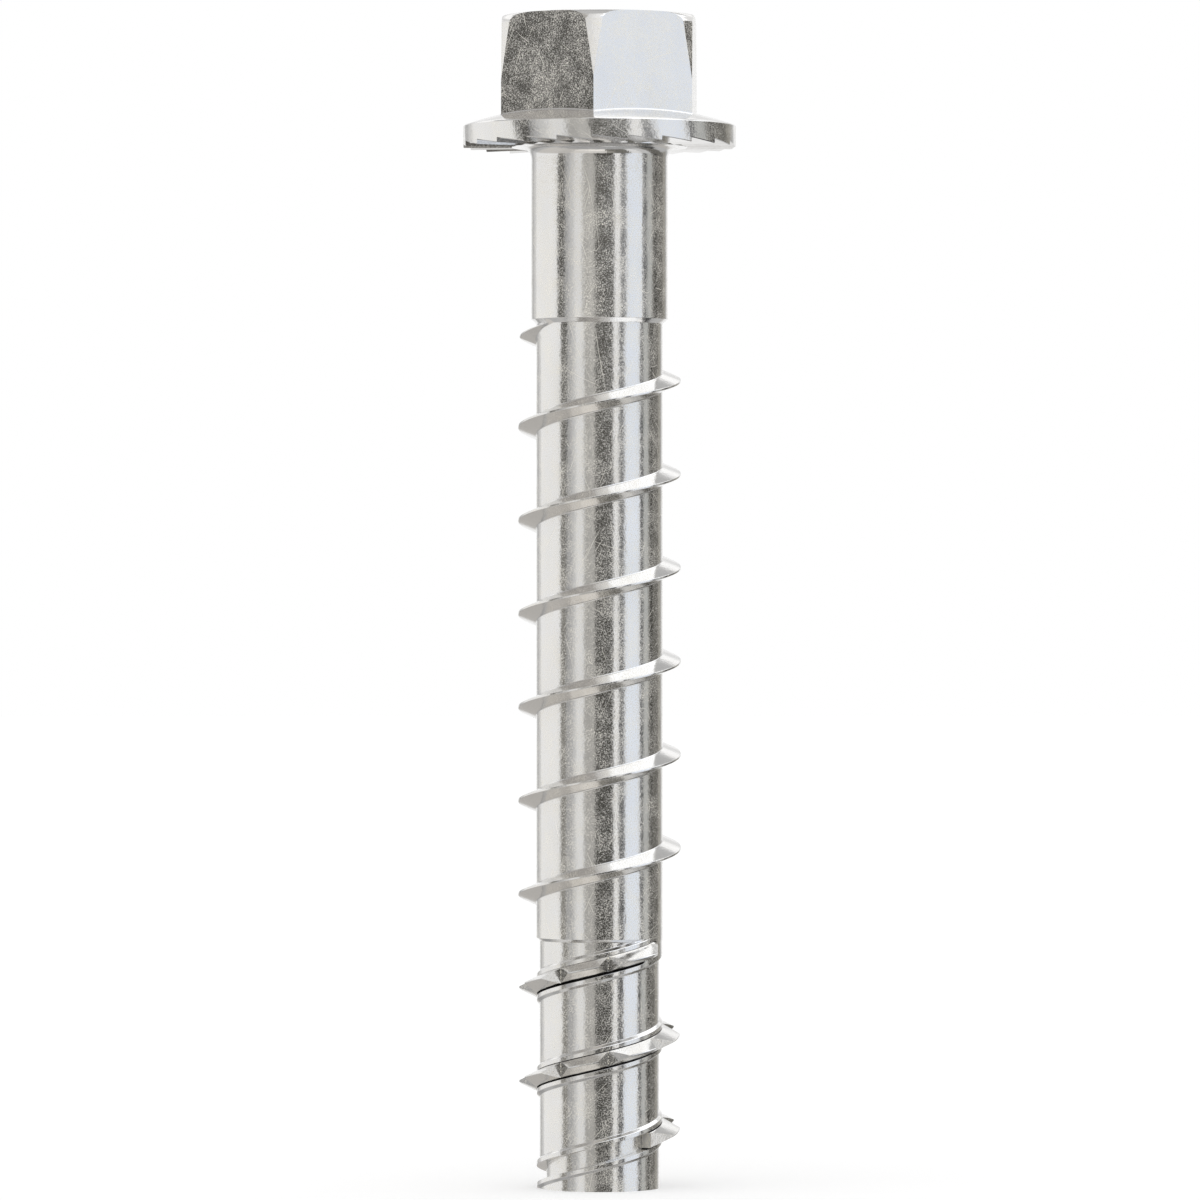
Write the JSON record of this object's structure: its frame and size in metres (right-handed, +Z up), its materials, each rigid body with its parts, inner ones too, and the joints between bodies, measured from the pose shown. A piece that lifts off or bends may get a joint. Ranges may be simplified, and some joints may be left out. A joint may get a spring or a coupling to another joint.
{
  "type": "concrete screw",
  "caption": "Stainless concrete screw with a hex washer head, ratchet teeth, a coarse right-hand thread and a notched cutting coil at its blunt tip.",
  "frame": {"origin": "centre of the flat end face at the tip", "axes": "+Z up the screw's axis towards the head, -Y through a corner of the hexagon"},
  "size_m": [0.0266, 0.0266, 0.1144],
  "materials": {
    "stainless_steel": "bright rolled stainless steel",
    "hardened_steel": "bright hardened carbon steel strip"
  },
  "bodies": {
    "root": {"anchor_body": "stainless_steel", "cutting_coil": "hardened_steel"}
  },
  "joints": []
}
